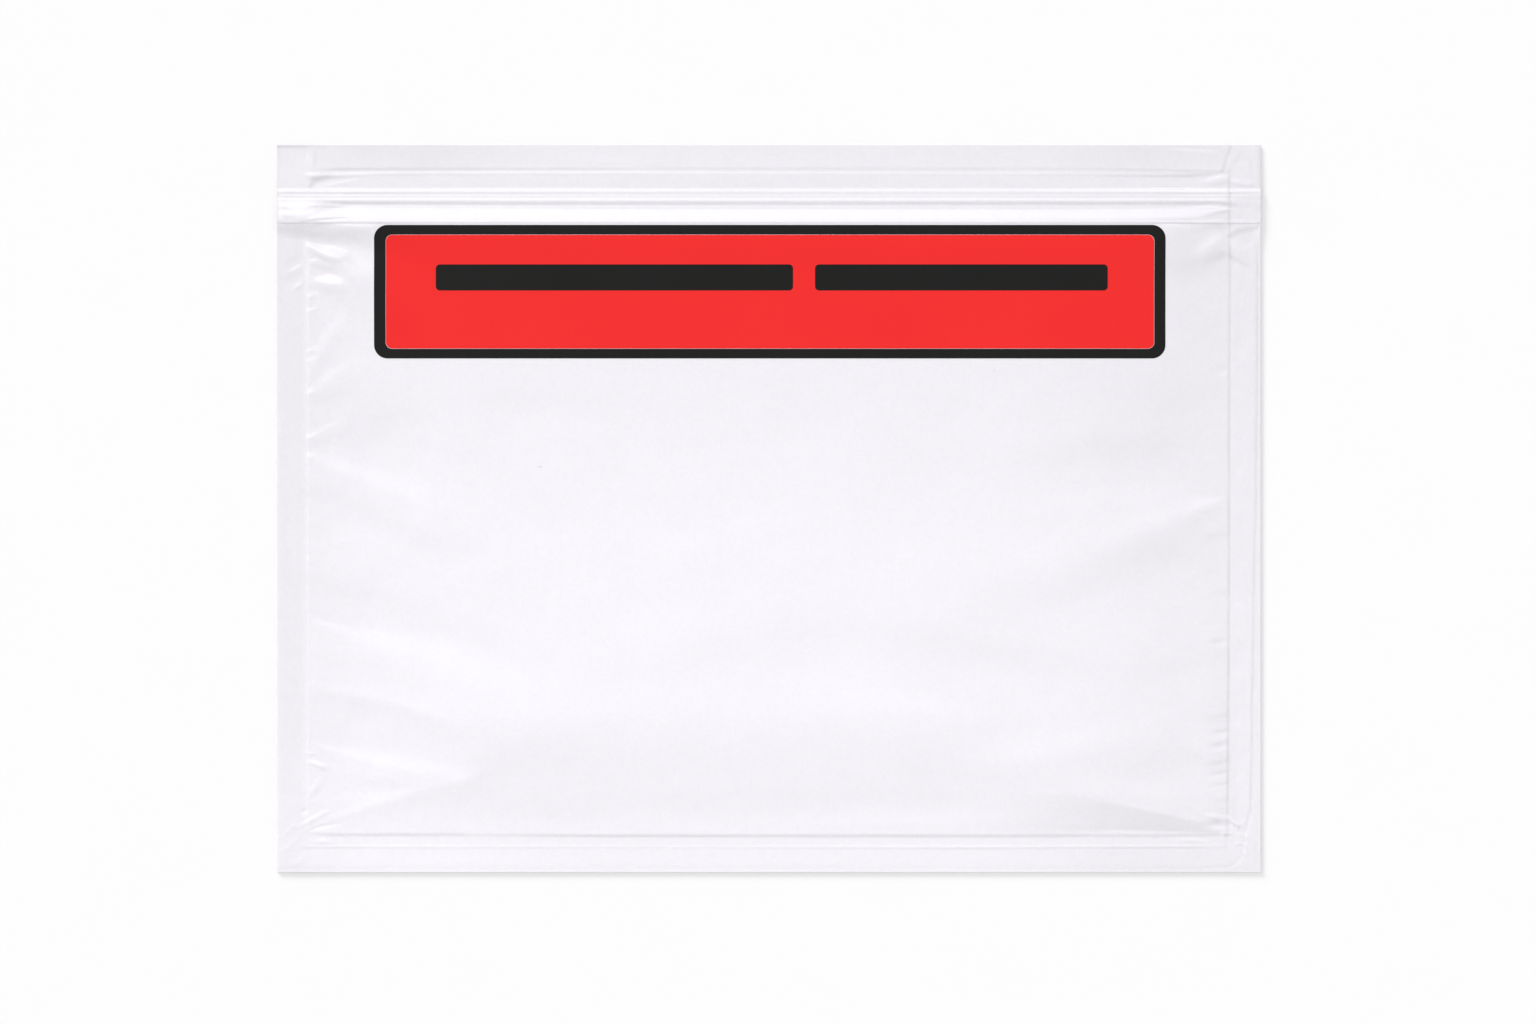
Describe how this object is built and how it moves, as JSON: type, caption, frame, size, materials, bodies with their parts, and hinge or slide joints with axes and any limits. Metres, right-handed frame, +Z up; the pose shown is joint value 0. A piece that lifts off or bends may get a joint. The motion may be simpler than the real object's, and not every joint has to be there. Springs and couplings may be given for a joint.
{
  "type": "packing list envelope",
  "caption": "Clear film document pocket with a lapped mouth, a red and black printed panel, an adhesive back and a peel-off paper liner, stuck to a carton to carry its papers.",
  "frame": {"origin": "on the surface it lies on, under the middle of the liner", "axes": "+X along the long side, +Y towards the mouth, +Z up out of the printed front"},
  "size_m": [0.165, 0.122, 0.0006],
  "materials": {
    "liner_paper": "smooth white siliconised paper",
    "adhesive": "clear tacky hot-melt coat with a fine mottle",
    "clear_film": "clear polythene film",
    "clear_front_film": "clear polythene film, soft gloss, wrinkled from its welds",
    "clear_flap_film": "clear polythene film, glossy where it laps over the mouth",
    "ink_black": "black ink printed on film",
    "ink_red": "red ink printed on film"
  },
  "bodies": {
    "root": {"release_liner": "liner_paper", "adhesive_coat": "adhesive", "back_film": "clear_film", "front_film": "clear_front_film", "closure_flap": "clear_flap_film"}
  },
  "joints": []
}
